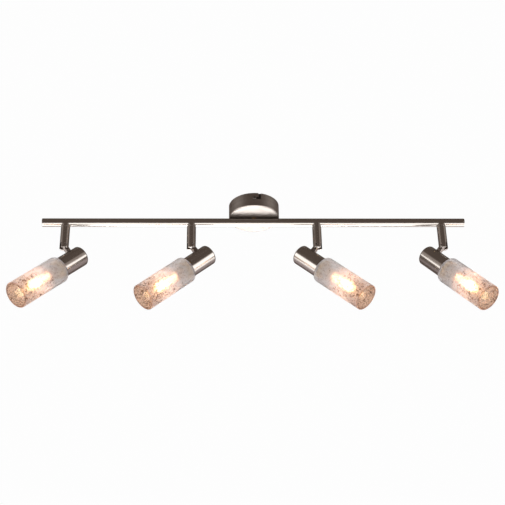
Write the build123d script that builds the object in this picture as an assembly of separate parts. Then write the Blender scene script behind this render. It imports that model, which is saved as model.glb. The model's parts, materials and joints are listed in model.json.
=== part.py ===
from build123d import *
import math
import os

# Four-lamp ceiling spotlight bar. Millimetres, +Z up, origin on the ceiling plane at the centre of the
# ceiling bracket; the bar runs along X and the front of the fixture faces -Y.

# Clearances
SEAT_GAP = 0.05         # between two pieces of one rigid group that seat on each other
RUNNING_FIT = 0.05      # radial gap between a shaft and the bore that it turns in
FREE_GAP = 0.3          # between faces of two groups that move against each other

# Bar
BAR_DIAMETER = 16.0
BAR_WALL = 1.2
BAR_LENGTH = 800.0      # over the end plugs
PLUG_HEAD = 2.0
PLUG_SPIGOT = 8.0
PLUG_EDGE = 0.7

# Ceiling canopy
CANOPY_DIAMETER = 95.0
CANOPY_HEIGHT = 28.0
CANOPY_WALL = 1.0
CANOPY_EDGE = 2.0       # outer radius of the bottom edge
BAR_TO_CANOPY = 0.2
LOCK_SLOT_WIDTH = 4.6
LOCK_SLOT_DROP = 11.0   # rim to the middle of the level leg
LOCK_SLOT_TURN = 12.0   # degrees that the canopy turns to lock

# Ceiling bracket
BRACKET_WIDTH = 26.0
BRACKET_SHEET = 1.5
BRACKET_TAB_WIDTH = 25.0    # covers the slots' upright legs from inside
BRACKET_TAB_DROP = 16.0
BRACKET_TO_CANOPY = 0.27     # at the strap's corners
CEILING_HOLE_SPACING = 50.0
CEILING_SLOT_WIDTH = 5.0
CEILING_SLOT_LENGTH = 14.0
EAR_LENGTH = 30.0
EAR_REACH = 32.0

# Small screws
SCREW_DIAMETER = 4.0
SCREW_HEAD_DIAMETER = 7.0
SCREW_HEAD_HEIGHT = 2.2
SCREW_SLOT_WIDTH = 1.0
SCREW_SLOT_DEPTH = 1.0
EARTH_SCREW_Y = 10.0

# Terminal block
BLOCK_WIDTH = 18.0
BLOCK_HEIGHT = 14.0
POLE_COUNT = 3
POLE_PITCH = 9.0
CLAMP_SIZE = 6.0
CLAMP_BORE = 3.2
CLAMP_INSET = 1.5
TERMINAL_SCREW_DIAMETER = 3.0
TERMINAL_SCREW_SPREAD = 8.0

# Threaded tube that joins canopy and bar
NIPPLE_DIAMETER = 10.0
NIPPLE_BORE = 7.2
NIPPLE_RISE = 10.0      # above the canopy floor
NIPPLE_INTO_BAR = 2.0   # past the bar's inner wall
LOCKNUT_FLATS = 14.0
LOCKNUT_HEIGHT = 5.0
WASHER_DIAMETER = 19.0
WASHER_SHEET = 1.0
WASHER_TEETH = 12

# Stems
STEM_COUNT = 4
STEM_PITCH = 237.0
STEM_DIAMETER = 17.0
STEM_BOTTOM = 58.0      # below the bar's axis
STEM_EDGE = 1.2
STEM_WALL = 2.5
STEM_PASSAGE = 4.4
SADDLE_TOP = 5.0        # below the bar's axis
SADDLE_FOOT = 3.0       # below the bar's underside
STUD_DIAMETER = 8.0
STUD_BORE = 5.0
STUD_THREAD = 8.0       # length in the stem
STUD_HEAD_LIP = 0.8     # radial
STUD_HEAD_HEIGHT = 2.0
SWIVEL_WASHER_EDGE = 0.25   # thickness where the washer's rim meets the bar's bore
BAR_HOLE_GAP = 0.4

# Knuckle
PIVOT_ABOVE_STEM_END = 6.5
TONGUE_THICKNESS = 7.0
TONGUE_WIDTH = 9.0
TONGUE_SIDE_GAP = 0.35
EYE_GAP = 0.8
PIVOT_SCREW_DIAMETER = 4.0
PIVOT_TIP_DIAMETER = 3.0
PIVOT_TIP_INNER = 1.8   # from the knuckle's middle to the tip's end
PIVOT_SOCKET = 2.0
TONGUE_BORE = 3.0
TONGUE_STUB_DIAMETER = 6.0
TONGUE_STUB_LENGTH = 5.0
TONGUE_NUT_FLATS = 9.0
TONGUE_NUT_HEIGHT = 2.5

# Lamp head, measured along its axis from the foot of the tongue
NECK_LENGTH = 13.0      # pivot to the cup's surface
CUP_DIAMETER = 38.5
CUP_WALL = 1.0
CUP_EDGE = 3.0
CUP_BACK = 18.0         # from the tongue back to the cup's closed end
CUP_FRONT = 39.5        # from the tongue forward to the cup's mouth
SHADE_DIAMETER = 50.5
SHADE_WALL = 3.2
SHADE_LENGTH = 111.5
SHADE_SHOULDER = 6.2
SHADE_INNER_CORNER = 3.0
SHADE_LIP = 1.2
SLEEVE_DIAMETER = 28.0
SLEEVE_WALL = 1.6
SLEEVE_BACK = 14.0
SLEEVE_FRONT = 12.0
SLEEVE_FLANGE = 2.0
SHADE_HOLE_GAP = 0.4
RING_WALL = 4.0         # radial, outside the sleeve
RING_HEIGHT = 5.0
RING_NOTCHES = 6
RING_NOTCH_WIDTH = 4.0
RING_NOTCH_DEPTH = 1.5
HOLDER_GAP = 1.9        # radial, inside the sleeve
HOLDER_FRONT = 32.0
HOLDER_COLLAR = 6.0
HOLDER_EDGE = 1.5
LAMP_DIAMETER = 16.0
LAMP_LENGTH = 40.0
LAMP_PINCH = 8.0
LAMP_PINCH_THICKNESS = 5.0
LAMP_PIN_DIAMETER = 1.6
LAMP_PIN_LENGTH = 9.0
LAMP_PIN_PITCH = 9.0
PIN_HOLE_GAP = 0.2

# Leads
LEAD_DIAMETER = 2.4
LEAD_BEND = 4.0
BEND_IN_NIPPLE = 1.4    # how far up the nipple a lead may start to bend
LEAD_SWEEP = 12.0
LEAD_RISE = 2.2         # above the bar's axis
LEAD_SPLAY = 1.3        # from the middle of the nipple, and between the two leads of a pole
LEAD_STACK_DROP = 0.3   # middle of a pole's two leads below its middle
FAR_LEAD_OFFSET = 3.0
LEAD_STRAIGHT = 3.0
LEAD_END_GAP = 1.6      # from the knuckle's middle

# How the heads stand: turn towards the front from the bar's line, and dip below level
HEAD_SIDES = (-1, -1, 1, 1)
HEAD_TURNS = (31.5, 19.0, 21.5, 34.0)
HEAD_DIPS = (44.5, 42.4, 43.8, 48.6)

bar_radius = BAR_DIAMETER / 2
bar_bore = bar_radius - BAR_WALL
bar_axis = -(CANOPY_HEIGHT + BAR_TO_CANOPY + bar_radius)
canopy_radius = CANOPY_DIAMETER / 2
canopy_bore = canopy_radius - CANOPY_WALL
canopy_floor = -(CANOPY_HEIGHT - CANOPY_WALL)
bracket_half = math.sqrt((canopy_bore - BRACKET_TO_CANOPY) ** 2 - (BRACKET_WIDTH / 2) ** 2)
nipple_low = bar_axis + bar_bore - NIPPLE_INTO_BAR
pivot_z = bar_axis - STEM_BOTTOM + PIVOT_ABOVE_STEM_END
stem_radius = STEM_DIAMETER / 2
saddle_bottom = bar_axis - bar_radius - SADDLE_FOOT
stem_top = saddle_bottom - FREE_GAP
stud_head_radius = STUD_DIAMETER / 2 + STUD_HEAD_LIP
washer_drop = math.sqrt((bar_bore - SEAT_GAP) ** 2 - stud_head_radius**2) - SWIVEL_WASHER_EDGE
washer_top = bar_axis - washer_drop
stud_head_low = washer_top + FREE_GAP
stud_head_top = stud_head_low + STUD_HEAD_HEIGHT
cup_radius = CUP_DIAMETER / 2
cup_bore = cup_radius - CUP_WALL
head_drop = NECK_LENGTH + cup_radius
shade_radius = SHADE_DIAMETER / 2
shade_bore = shade_radius - SHADE_WALL
shade_back = CUP_FRONT + SEAT_GAP
shade_floor = shade_back + SHADE_WALL
sleeve_bore = SLEEVE_DIAMETER / 2 - SLEEVE_WALL
ring_radius = SLEEVE_DIAMETER / 2 + RING_WALL
shade_corner = min(SHADE_INNER_CORNER, shade_bore - ring_radius - SEAT_GAP)
stem_places = [STEM_PITCH * (index - (STEM_COUNT - 1) / 2) for index in range(STEM_COUNT)]


def drum(radius, low, high):
    """Upright cylinder on the Z axis from low to high."""
    return Pos(0, 0, (low + high) / 2) * Cylinder(radius, high - low)


def rod(radius, low, high):
    """Cylinder on the X axis from low to high."""
    return Pos((low + high) / 2, 0, 0) * Rot(0, 90, 0) * Cylinder(radius, high - low)


def cross_pin(radius, low, high):
    """Cylinder on the Y axis from low to high."""
    return Pos(0, (low + high) / 2, 0) * Rot(-90, 0, 0) * Cylinder(radius, high - low)


def block(x_low, x_high, y_low, y_high, z_low, z_high):
    """Box between two corners."""
    middle = ((x_low + x_high) / 2, (y_low + y_high) / 2, (z_low + z_high) / 2)
    return Pos(*middle) * Box(x_high - x_low, y_high - y_low, z_high - z_low)


def hex_nut(flats, bore, low, high):
    """Upright hexagon nut on the Z axis."""
    corner = flats / 2 / math.cos(math.pi / 6)
    prism = extrude(Plane.XY.offset(low) * RegularPolygon(corner, 6), high - low)
    return prism - drum(bore / 2, low - 1, high + 1)


def tube_along(points, radii):
    """Round lead along straight runs joined by tangent arcs."""
    path = FilletPolyline(*points, radius=radii)
    start = Plane(origin=path @ 0, z_dir=path % 0)
    return sweep(start * Circle(LEAD_DIAMETER / 2), path=path)


def save(name, *pieces):
    """Write one named piece, or one group of like pieces, as its own file."""
    solids = [solid for piece in pieces for solid in piece.solids()]
    shape = solids[0] if len(solids) == 1 else Compound(solids)
    export_step(shape, f"parts/{name}.step")


def make_bracket():
    """Pressed steel strap with a tab at each end, an ear for the terminal block and two slots."""
    sheet = BRACKET_SHEET
    half = BRACKET_WIDTH / 2
    strap = block(-half, half, -bracket_half, bracket_half, -sheet, 0)
    ear = block(half - 1, EAR_REACH, -EAR_LENGTH / 2, EAR_LENGTH / 2, -sheet, 0)
    plate = strap + ear
    for side in (-1, 1):
        edge = side * bracket_half
        inner = side * (bracket_half - sheet)
        tab_half = BRACKET_TAB_WIDTH / 2
        plate += block(-tab_half, tab_half, min(edge, inner), max(edge, inner), -BRACKET_TAB_DROP, 0)
        slot = extrude(Rot(0, 0, 90) * SlotOverall(CEILING_SLOT_LENGTH, CEILING_SLOT_WIDTH), 2 * sheet)
        plate -= Pos(0, side * CEILING_HOLE_SPACING / 2, -1.5 * sheet) * slot
    across = cross_pin(SCREW_DIAMETER / 2 + SEAT_GAP, -canopy_radius, canopy_radius)
    plate -= Pos(0, 0, -LOCK_SLOT_DROP) * across
    plate -= Pos(0, EARTH_SCREW_Y, 0) * drum(SCREW_DIAMETER / 2 + SEAT_GAP, -2 * sheet, sheet)
    return plate


def pan_screw(shank):
    """Slotted pan-head screw: the head's seat lies at z = 0 and the shank points up."""
    head = drum(SCREW_HEAD_DIAMETER / 2, -SCREW_HEAD_HEIGHT, 0)
    head = fillet(head.edges().sort_by(Axis.Z)[0], SCREW_HEAD_HEIGHT * 0.45)
    screw = head + drum(SCREW_DIAMETER / 2, 0, shank)
    reach = SCREW_HEAD_DIAMETER
    half = SCREW_SLOT_WIDTH / 2
    cut = block(-reach, reach, -half, half, -SCREW_HEAD_HEIGHT - 1, SCREW_SLOT_DEPTH - SCREW_HEAD_HEIGHT)
    return screw - cut


def make_cover_screws():
    """Two side screws that hang the canopy on the bracket's tabs."""
    seat = canopy_radius + FREE_GAP
    shank = seat - bracket_half + 2 * BRACKET_SHEET
    screws = []
    for turn in (0, 180):
        place = Rot(0, 0, turn) * Pos(0, -seat, -LOCK_SLOT_DROP) * Rot(-90, 0, 0)
        screws.append(place * pan_screw(shank))
    return screws


def make_canopy():
    """Deep-drawn steel cup, open at the ceiling, with two L-shaped lock slots in its rim."""
    shell = drum(canopy_radius, -CANOPY_HEIGHT, 0)
    shell = fillet(shell.edges().sort_by(Axis.Z)[0], CANOPY_EDGE)
    hollow = drum(canopy_bore, canopy_floor, 1)
    hollow = fillet(hollow.edges().sort_by(Axis.Z)[0], CANOPY_EDGE - CANOPY_WALL)
    shell -= hollow
    shell -= drum(NIPPLE_DIAMETER / 2 + FREE_GAP, -CANOPY_HEIGHT - 1, 0)
    half = LOCK_SLOT_WIDTH / 2
    wall_middle = canopy_radius - CANOPY_WALL / 2
    for turn in (0, 180):
        down = block(-half, half, -canopy_radius - 1, -canopy_bore + 2, -LOCK_SLOT_DROP, 1)
        end = Pos(0, 0, -LOCK_SLOT_DROP) * cross_pin(half, -canopy_radius - 1, -canopy_bore + 2)
        shell -= Rot(0, 0, turn + LOCK_SLOT_TURN) * (down + end)
        shell -= Rot(0, 0, turn) * end
        leg = drum(canopy_radius + 1, -LOCK_SLOT_DROP - half, -LOCK_SLOT_DROP + half)
        leg -= drum(canopy_bore - 1, -CANOPY_HEIGHT, 0)
        chord = wall_middle * math.radians(LOCK_SLOT_TURN)
        leg &= block(0, chord, -canopy_radius - 2, 0, -CANOPY_HEIGHT, 0)
        shell -= Rot(0, 0, turn) * leg
    return shell


def make_washer():
    """Toothed lock washer on the canopy's floor."""
    low = canopy_floor + SEAT_GAP
    ring = drum(WASHER_DIAMETER / 2, low, low + WASHER_SHEET)
    ring -= drum(NIPPLE_DIAMETER / 2 + FREE_GAP, low - 1, low + 2 * WASHER_SHEET)
    tooth_gap = math.pi * WASHER_DIAMETER / WASHER_TEETH / 2
    for index in range(WASHER_TEETH):
        notch = block(WASHER_DIAMETER / 2 - 1.5, WASHER_DIAMETER, -tooth_gap / 2, tooth_gap / 2, low - 1, 0)
        ring -= Rot(0, 0, index * 360 / WASHER_TEETH) * notch
    return ring


def make_terminals():
    """Three-pole block under the bracket's ear: moulded body, brass clamps and clamp screws."""
    top = -BRACKET_SHEET
    x_low = EAR_REACH - BLOCK_WIDTH
    half = EAR_LENGTH / 2
    foot = top - BLOCK_HEIGHT
    body = block(x_low, EAR_REACH, -half, half, foot, top)
    clamp_z = top - BLOCK_HEIGHT / 2
    screw_top = clamp_z - CLAMP_BORE / 2
    clamps = []
    screws = []
    for index in range(POLE_COUNT):
        y = POLE_PITCH * (index - (POLE_COUNT - 1) / 2)
        reach = CLAMP_SIZE / 2
        slack = reach + SEAT_GAP
        body -= block(x_low - 1, EAR_REACH + 1, y - slack, y + slack, clamp_z - slack, clamp_z + slack)
        start, end = x_low + CLAMP_INSET, EAR_REACH - CLAMP_INSET
        clamp = block(start, end, y - reach, y + reach, clamp_z - reach, clamp_z + reach)
        clamp -= Pos(0, y, clamp_z) * rod(CLAMP_BORE / 2, start - 1, end + 1)
        for side in (-1, 1):
            x = (x_low + EAR_REACH) / 2 + side * TERMINAL_SCREW_SPREAD / 2
            hole = Pos(x, y, 0) * drum(TERMINAL_SCREW_DIAMETER / 2 + SEAT_GAP, foot - 1, clamp_z)
            clamp -= hole
            body -= hole
            screw = drum(TERMINAL_SCREW_DIAMETER / 2, foot + 1, screw_top)
            width = SCREW_SLOT_WIDTH / 2
            screw -= block(-reach, reach, -width, width, foot, foot + 1 + SCREW_SLOT_DEPTH)
            screws.append(Pos(x, y, 0) * screw)
        clamps.append(clamp)
    return body, clamps, screws


def make_nipple():
    """Threaded tube, brazed into the bar's top and held in the canopy by the locknut."""
    high = canopy_floor + NIPPLE_RISE
    return drum(NIPPLE_DIAMETER / 2, nipple_low, high) - drum(NIPPLE_BORE / 2, nipple_low - 1, high + 1)


def make_bar():
    """Drawn steel tube with a hole on top for the nipple and one below for each stem."""
    half = BAR_LENGTH / 2 - PLUG_HEAD
    tube = rod(bar_radius, -half, half) - rod(bar_bore, -half - 1, half + 1)
    tube = Pos(0, 0, bar_axis) * tube
    tube -= drum(NIPPLE_DIAMETER / 2 + SEAT_GAP, bar_axis, 0)
    for x in stem_places:
        low = bar_axis - BAR_DIAMETER
        tube -= Pos(x, 0, 0) * drum(STUD_DIAMETER / 2 + BAR_HOLE_GAP, low, bar_axis)
    return tube


def make_plugs():
    """Moulded plugs that close the bar's ends flush."""
    end = BAR_LENGTH / 2
    head = rod(bar_radius, end - PLUG_HEAD, end)
    head = fillet(head.edges().sort_by(Axis.X)[-1], PLUG_EDGE)
    plug = head + rod(bar_bore - SEAT_GAP, end - PLUG_HEAD - PLUG_SPIGOT, end - PLUG_HEAD)
    return [Pos(0, 0, bar_axis) * Rot(0, 0, turn) * plug for turn in (0, 180)]


def make_saddles():
    """Collars coped to the bar; each stem turns against its collar's level face."""
    collar = drum(stem_radius, saddle_bottom, bar_axis - SADDLE_TOP)
    collar -= drum(STUD_DIAMETER / 2 + RUNNING_FIT, saddle_bottom - 1, bar_axis)
    collar -= Pos(0, 0, bar_axis) * rod(bar_radius + SEAT_GAP, -STEM_DIAMETER, STEM_DIAMETER)
    return [Pos(x, 0, 0) * collar for x in stem_places]


def make_swivel_washers():
    """Washers inside the bar, shaped to its bore, that carry the studs' heads."""
    ring = drum(stud_head_radius, bar_axis - bar_bore, washer_top)
    ring -= drum(STUD_DIAMETER / 2 + BAR_HOLE_GAP, bar_axis - bar_radius, bar_axis)
    ring &= Pos(0, 0, bar_axis) * rod(bar_bore - SEAT_GAP, -STEM_DIAMETER, STEM_DIAMETER)
    return [Pos(x, 0, 0) * ring for x in stem_places]


def make_stud():
    """Hollow stud: headed inside the bar, screwed into the stem's top."""
    low = stem_top - STUD_THREAD
    stud = drum(STUD_DIAMETER / 2, low, stud_head_low)
    stud += drum(stud_head_radius, stud_head_low, stud_head_top)
    return stud - drum(STUD_BORE / 2, low - 1, bar_axis)


def make_stem():
    """Turned stem, bored for the lead, with its lower end slotted into two lugs."""
    bottom = bar_axis - STEM_BOTTOM
    root = pivot_z + TONGUE_WIDTH / 2 + EYE_GAP
    stem = drum(stem_radius, bottom, stem_top)
    stem = fillet(stem.edges().sort_by(Axis.Z)[0], STEM_EDGE)
    stem -= drum(STUD_DIAMETER / 2 + SEAT_GAP, stem_top - STUD_THREAD - SEAT_GAP, stem_top + 1)
    stem -= drum(stem_radius - STEM_WALL, root + STEM_PASSAGE, stem_top - STUD_THREAD - SEAT_GAP)
    stem -= drum(STEM_PASSAGE / 2, root - 1, root + STEM_PASSAGE + 1)
    gap = TONGUE_THICKNESS / 2 + TONGUE_SIDE_GAP
    stem -= block(-STEM_DIAMETER, STEM_DIAMETER, -gap, gap, bottom - 1, root)
    stem -= Pos(0, 0, pivot_z) * cross_pin(PIVOT_SCREW_DIAMETER / 2 + SEAT_GAP, -stem_radius, stem_radius)
    return stem


def make_pivot_screws():
    """Two grub screws in the lugs whose turned tips are the knuckle's axle."""
    wall = TONGUE_THICKNESS / 2 + TONGUE_SIDE_GAP
    outer = math.sqrt(stem_radius**2 - PIVOT_SCREW_DIAMETER**2 / 4) - SEAT_GAP
    screw = cross_pin(PIVOT_SCREW_DIAMETER / 2, wall, outer)
    screw += cross_pin(PIVOT_TIP_DIAMETER / 2, PIVOT_TIP_INNER, wall)
    socket = RegularPolygon(PIVOT_SOCKET / 2, 6)
    plane = Plane(origin=(0, outer - PIVOT_SOCKET, 0), z_dir=(0, 1, 0))
    screw -= extrude(plane * socket, PIVOT_SOCKET + 1)
    return [screw, Rot(0, 0, 180) * screw]


def make_tongue():
    """Knuckle tongue: an eye between the lugs, a hollow shank and a threaded stub into the cup."""
    half = TONGUE_WIDTH / 2
    side = TONGUE_THICKNESS / 2
    cup_top = -(head_drop - cup_radius)
    tongue = cross_pin(half, -side, side)
    tongue += block(-half, half, -side, side, cup_top - CUP_WALL * 2, 0)
    tongue -= Pos(0, 0, -head_drop) * rod(cup_radius + SEAT_GAP, -CUP_BACK, CUP_FRONT)
    stub_end = cup_top - CUP_WALL - TONGUE_STUB_LENGTH
    tongue += drum(TONGUE_STUB_DIAMETER / 2, stub_end, cup_top + 1)
    tongue -= drum(TONGUE_BORE / 2, stub_end - 1, 0)
    mouth = TONGUE_BORE / 2
    tongue -= block(-2 * half, mouth, -mouth, mouth, -mouth, 2 * half)
    for turn in (0, 180):
        recess = cross_pin(PIVOT_TIP_DIAMETER / 2 + RUNNING_FIT, mouth, side + 1)
        tongue -= Rot(0, 0, turn) * recess
    return tongue


def make_tongue_nut():
    """Nut inside the cup on the tongue's stub."""
    corner = TONGUE_NUT_FLATS / 2 / math.cos(math.pi / 6)
    top = -head_drop + math.sqrt(cup_bore**2 - corner**2) - SEAT_GAP
    return hex_nut(TONGUE_NUT_FLATS, TONGUE_STUB_DIAMETER + 2 * SEAT_GAP, top - TONGUE_NUT_HEIGHT, top)


def make_cup():
    """Deep-drawn steel cup with a closed back, pierced for the tongue's stub."""
    shell = rod(cup_radius, -CUP_BACK, CUP_FRONT)
    shell = fillet(shell.edges().sort_by(Axis.X)[0], CUP_EDGE)
    hollow = rod(cup_bore, -CUP_BACK + CUP_WALL, CUP_FRONT + 1)
    hollow = fillet(hollow.edges().sort_by(Axis.X)[0], CUP_EDGE - CUP_WALL)
    shell = Pos(0, 0, -head_drop) * (shell - hollow)
    return shell - drum(TONGUE_STUB_DIAMETER / 2 + SEAT_GAP, -head_drop, 0)


def make_sleeve():
    """Flanged threaded sleeve pressed into the cup's mouth; it carries shade and lampholder."""
    radius = SLEEVE_DIAMETER / 2
    sleeve = rod(radius, CUP_FRONT - SLEEVE_BACK, CUP_FRONT + SLEEVE_FRONT)
    sleeve += rod(cup_bore - SEAT_GAP, CUP_FRONT - SLEEVE_FLANGE, CUP_FRONT)
    sleeve -= rod(sleeve_bore, CUP_FRONT - SLEEVE_BACK - 1, CUP_FRONT + SLEEVE_FRONT + 1)
    return Pos(0, 0, -head_drop) * sleeve


def make_shade():
    """Blown glass tube, open in front, with a rounded shoulder and a hole in its back."""
    front = shade_back + SHADE_LENGTH
    turn = 1 - math.sqrt(0.5)
    hole = SLEEVE_DIAMETER / 2 + SHADE_HOLE_GAP
    knee = shade_radius - SHADE_SHOULDER
    inner_knee = shade_bore - shade_corner
    shoulder_mid = (shade_back + SHADE_SHOULDER * turn, shade_radius - SHADE_SHOULDER * turn)
    corner_mid = (shade_floor + shade_corner * turn, shade_bore - shade_corner * turn)
    outline = Line((shade_back, hole), (shade_back, knee))
    outline += ThreePointArc((shade_back, knee), shoulder_mid, (shade_back + SHADE_SHOULDER, shade_radius))
    outline += Line((shade_back + SHADE_SHOULDER, shade_radius), (front - SHADE_LIP, shade_radius))
    lip_mid = (front - SHADE_LIP * turn, shade_radius - SHADE_LIP * turn)
    outline += ThreePointArc((front - SHADE_LIP, shade_radius), lip_mid, (front, shade_radius - SHADE_LIP))
    outline += Line((front, shade_radius - SHADE_LIP), (front, shade_bore + SHADE_LIP))
    inner_mid = (front - SHADE_LIP * turn, shade_bore + SHADE_LIP * turn)
    outline += ThreePointArc((front, shade_bore + SHADE_LIP), inner_mid, (front - SHADE_LIP, shade_bore))
    outline += Line((front - SHADE_LIP, shade_bore), (shade_floor + shade_corner, shade_bore))
    outline += ThreePointArc(
        (shade_floor + shade_corner, shade_bore), corner_mid, (shade_floor, inner_knee)
    )
    outline += Line((shade_floor, inner_knee), (shade_floor, hole))
    outline += Line((shade_floor, hole), (shade_back, hole))
    return Pos(0, 0, -head_drop) * revolve(make_face(outline), Axis.X)


def make_ring():
    """Ring nut that clamps the shade's back against the cup."""
    low = shade_floor + SEAT_GAP
    ring = rod(ring_radius, low, low + RING_HEIGHT)
    ring -= rod(SLEEVE_DIAMETER / 2 + SEAT_GAP, low - 1, low + RING_HEIGHT + 1)
    half = RING_NOTCH_WIDTH / 2
    for index in range(RING_NOTCHES):
        depth = ring_radius - RING_NOTCH_DEPTH
        notch = block(low - 1, low + RING_HEIGHT + 1, -half, half, depth, ring_radius + 1)
        ring -= Rot(360 * index / RING_NOTCHES, 0, 0) * notch
    return Pos(0, 0, -head_drop) * ring


def make_holder():
    """Ceramic lampholder with a rear collar and two pin holes."""
    back = CUP_FRONT - SLEEVE_BACK
    front = CUP_FRONT + HOLDER_FRONT
    body = rod(sleeve_bore - HOLDER_GAP, back, front)
    body = fillet(body.edges().sort_by(Axis.X)[-1], HOLDER_EDGE)
    body += rod(sleeve_bore - SEAT_GAP, back, back + HOLDER_COLLAR)
    for side in (-1, 1):
        hole = rod(LAMP_PIN_DIAMETER / 2 + PIN_HOLE_GAP, front - LAMP_PIN_LENGTH - 1, front + 1)
        body -= Pos(0, side * LAMP_PIN_PITCH / 2, 0) * hole
    return Pos(0, 0, -head_drop) * body


def make_lamp():
    """Capsule lamp: round-nosed envelope on a flat pinch, and two pins in the holder."""
    face = CUP_FRONT + HOLDER_FRONT + SEAT_GAP
    radius = LAMP_DIAMETER / 2
    pinch_half = LAMP_PINCH_THICKNESS / 2
    start = face + LAMP_PINCH
    bulb = rod(radius, start, start + LAMP_LENGTH)
    bulb = fillet(bulb.edges().sort_by(Axis.X)[-1], radius * 0.95)
    bulb = fillet(bulb.edges().sort_by(Axis.X)[0], radius * 0.3)
    wide = radius * 0.9
    bulb += block(face, start + 1, -wide, wide, -pinch_half, pinch_half)
    pieces = [bulb]
    for side in (-1, 1):
        pin = rod(LAMP_PIN_DIAMETER / 2, face - LAMP_PIN_LENGTH, face)
        pieces.append(Pos(0, side * LAMP_PIN_PITCH / 2, 0) * pin)
    return [Pos(0, 0, -head_drop) * piece for piece in pieces]


def make_head_lead():
    """Lead from the knuckle through the tongue to the back of the lampholder."""
    back = CUP_FRONT - SLEEVE_BACK
    top = -(LEAD_END_GAP - SEAT_GAP)
    points = [(0, 0, top), (0, 0, -head_drop), (back, 0, -head_drop)]
    return tube_along(points, [back * 0.6])


def make_bar_leads():
    """One lead for each head, from the terminal block through nipple and bar down to the knuckle."""
    block_face = EAR_REACH - BLOCK_WIDTH
    block_z = -BRACKET_SHEET - BLOCK_HEIGHT / 2
    run_z = bar_axis + LEAD_RISE
    end_z = pivot_z + LEAD_END_GAP
    nipple_bend = min(LEAD_BEND, nipple_low - run_z + BEND_IN_NIPPLE)
    stud_bend = min(LEAD_BEND, run_z - stud_head_top)
    leads = []
    for x in stem_places:
        side = 1 if x > 0 else -1
        far = abs(x) > STEM_PITCH
        y_sign = 1 if far else -1
        down_x = side * LEAD_SPLAY
        down_y = y_sign * LEAD_SPLAY
        run_y = FAR_LEAD_OFFSET if far else down_y
        pole_y = y_sign * POLE_PITCH
        start_z = block_z - LEAD_STACK_DROP - side * LEAD_SPLAY
        points = [
            (block_face, pole_y, start_z),
            (block_face - LEAD_STRAIGHT, pole_y, start_z),
            (down_x, down_y, start_z),
            (down_x, down_y, run_z),
        ]
        radii = [LEAD_STRAIGHT, LEAD_BEND, nipple_bend]
        if far:
            points.append((down_x + side * LEAD_SWEEP, run_y, run_z))
            radii.append(LEAD_SWEEP)
        points.append((x - side * LEAD_SWEEP, run_y, run_z))
        points.append((x, 0, run_z))
        points.append((x, 0, end_z))
        radii.extend([LEAD_SWEEP, stud_bend])
        leads.append(tube_along(points, radii))
    return leads


def make_earth_lead():
    """Lead from the middle pole, over the lamp leads, to the earth screw on the bracket."""
    block_face = EAR_REACH - BLOCK_WIDTH
    block_z = -BRACKET_SHEET - BLOCK_HEIGHT / 2
    screw_z = -BRACKET_SHEET - SCREW_HEAD_HEIGHT - LEAD_DIAMETER / 2 - 2 * SEAT_GAP
    rise = block_z - screw_z
    points = [
        (block_face, 0, block_z),
        (block_face - LEAD_STRAIGHT, 0, block_z),
        (block_face - LEAD_STRAIGHT + rise, 0, screw_z),
        (SCREW_HEAD_DIAMETER / 2, EARTH_SCREW_Y - 1, screw_z),
        (0, EARTH_SCREW_Y, screw_z),
    ]
    return tube_along(points, [LEAD_STRAIGHT, LEAD_STRAIGHT, LEAD_STRAIGHT])


os.makedirs("parts", exist_ok=True)

save("ceiling_bracket", make_bracket())
save("cover_screws", *make_cover_screws())
earth_place = Pos(0, EARTH_SCREW_Y, -BRACKET_SHEET - SEAT_GAP)
save("earth_screw", earth_place * pan_screw(BRACKET_SHEET - SEAT_GAP))
block_body, block_clamps, block_screws = make_terminals()
save("terminal_block", block_body)
save("terminal_clamps", *block_clamps)
save("terminal_screws", *block_screws)
save("canopy_cover", make_canopy())
save("canopy_nipple", make_nipple())
nut_low = canopy_floor + WASHER_SHEET + 2 * SEAT_GAP
nut_bore = NIPPLE_DIAMETER + 2 * SEAT_GAP
save("canopy_locknut", hex_nut(LOCKNUT_FLATS, nut_bore, nut_low, nut_low + LOCKNUT_HEIGHT))
save("lock_washer", make_washer())
save("bar_tube", make_bar())
save("bar_end_plugs", *make_plugs())
save("stem_saddles", *make_saddles())
save("swivel_washers", *make_swivel_washers())
save("bar_leads", *make_bar_leads())
save("earth_lead", make_earth_lead())

stud = make_stud()
stem = make_stem()
pivot_screws = make_pivot_screws()
tongue = make_tongue()
head_pieces = {
    "tongue": [tongue, make_tongue_nut()],
    "cup": [make_cup()],
    "shade_sleeve": [make_sleeve()],
    "glass_shade": [make_shade()],
    "shade_ring": [make_ring()],
    "lampholder": [make_holder()],
    "lamp": make_lamp(),
    "head_lead": [make_head_lead()],
}

for index, (x, side, turn, dip) in enumerate(zip(stem_places, HEAD_SIDES, HEAD_TURNS, HEAD_DIPS)):
    number = index + 1
    facing = 180 + turn if side < 0 else -turn
    upright = Pos(x, 0, 0) * Rot(0, 0, facing)
    save(f"stem_{number}", upright * stem)
    save(f"swivel_stud_{number}", upright * stud)
    knuckle = Pos(x, 0, pivot_z) * Rot(0, 0, facing)
    save(f"pivot_screws_{number}", *[knuckle * screw for screw in pivot_screws])
    for name, pieces in head_pieces.items():
        save(f"{name}_{number}", *[knuckle * Rot(0, dip, 0) * piece for piece in pieces])
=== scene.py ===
import json
import math

import bmesh
import bpy
from mathutils import Matrix, Quaternion, Vector, noise


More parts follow.
